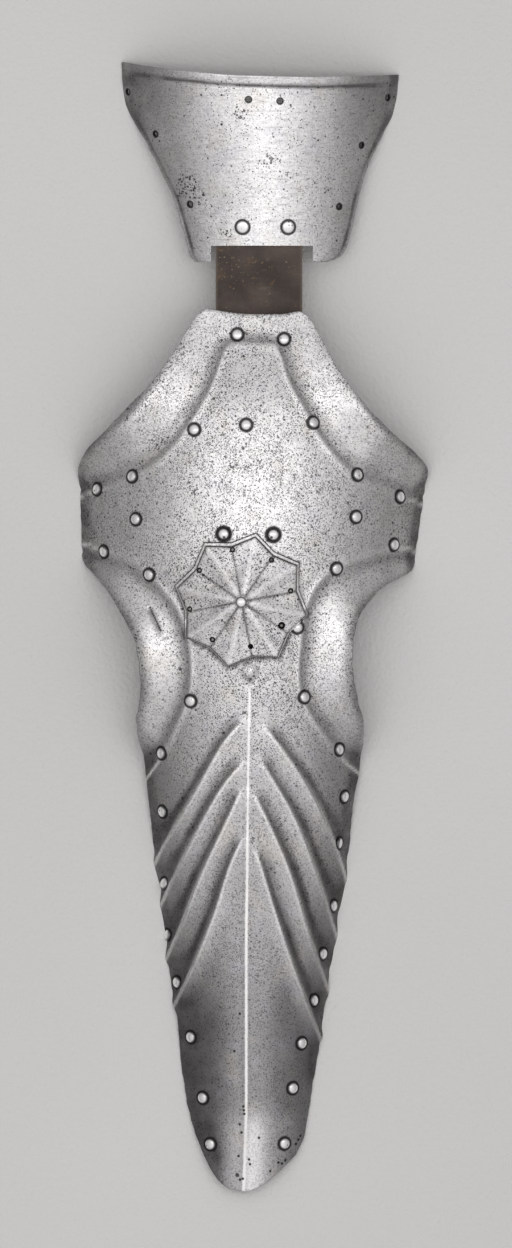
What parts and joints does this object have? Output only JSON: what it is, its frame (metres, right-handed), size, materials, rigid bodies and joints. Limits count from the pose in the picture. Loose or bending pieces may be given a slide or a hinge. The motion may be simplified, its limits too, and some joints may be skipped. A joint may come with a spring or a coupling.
{
  "type": "shaffron",
  "caption": "Shaffron, a steel defence for a horse's face: a fluted main plate with a star rosette and eye and ear cut-outs, and a poll plate on a leather strap.",
  "frame": {"origin": "on the surface that the shaffron lies on, under the middle of its box", "axes": "+X to the right as seen from outside with the nose down, +Y from the nose towards the poll, +Z outwards from the horse's face"},
  "size_m": [0.234, 0.7541, 0.0652],
  "materials": {
    "main_steel": "satin, pitted",
    "poll_steel": "satin, pitted",
    "rosette_steel": "satin, pitted",
    "rivet_steel": "worn bright",
    "dark_leather": "dry, scuffed"
  },
  "bodies": {
    "root": {"brow_rivet_1": "rivet_steel", "brow_rivet_2": "rivet_steel", "brow_rivet_3": "rivet_steel", "brow_rivet_4": "rivet_steel", "brow_rivet_5": "rivet_steel", "brow_rivet_6": "rivet_steel", "brow_rivet_7": "rivet_steel", "connecting_strap": "dark_leather", "left_rivet_1": "rivet_steel", "left_rivet_10": "rivet_steel", "left_rivet_11": "rivet_steel", "left_rivet_12": "rivet_steel", "left_rivet_13": "rivet_steel", "left_rivet_2": "rivet_steel", "left_rivet_3": "rivet_steel", "left_rivet_4": "rivet_steel", "left_rivet_5": "rivet_steel", "left_rivet_6": "rivet_steel", "left_rivet_7": "rivet_steel", "left_rivet_8": "rivet_steel", "left_rivet_9": "rivet_steel", "main_plate": "main_steel", "poll_plate": "poll_steel", "poll_rivet_1": "rivet_steel", "poll_rivet_2": "rivet_steel", "right_rivet_1": "rivet_steel", "right_rivet_10": "rivet_steel", "right_rivet_11": "rivet_steel", "right_rivet_12": "rivet_steel", "right_rivet_13": "rivet_steel", "right_rivet_14": "rivet_steel", "right_rivet_15": "rivet_steel", "right_rivet_2": "rivet_steel", "right_rivet_3": "rivet_steel", "right_rivet_4": "rivet_steel", "right_rivet_5": "rivet_steel", "right_rivet_6": "rivet_steel", "right_rivet_7": "rivet_steel", "right_rivet_8": "rivet_steel", "right_rivet_9": "rivet_steel", "rosette": "rosette_steel", "rosette_boss": "rivet_steel", "rosette_nail_1": "rivet_steel", "rosette_nail_2": "rivet_steel", "rosette_nail_3": "rivet_steel", "rosette_nail_4": "rivet_steel", "rosette_nail_5": "rivet_steel", "rosette_nail_6": "rivet_steel", "rosette_nail_7": "rivet_steel", "strap_rivet_1": "rivet_steel", "strap_rivet_2": "rivet_steel"}
  },
  "joints": []
}
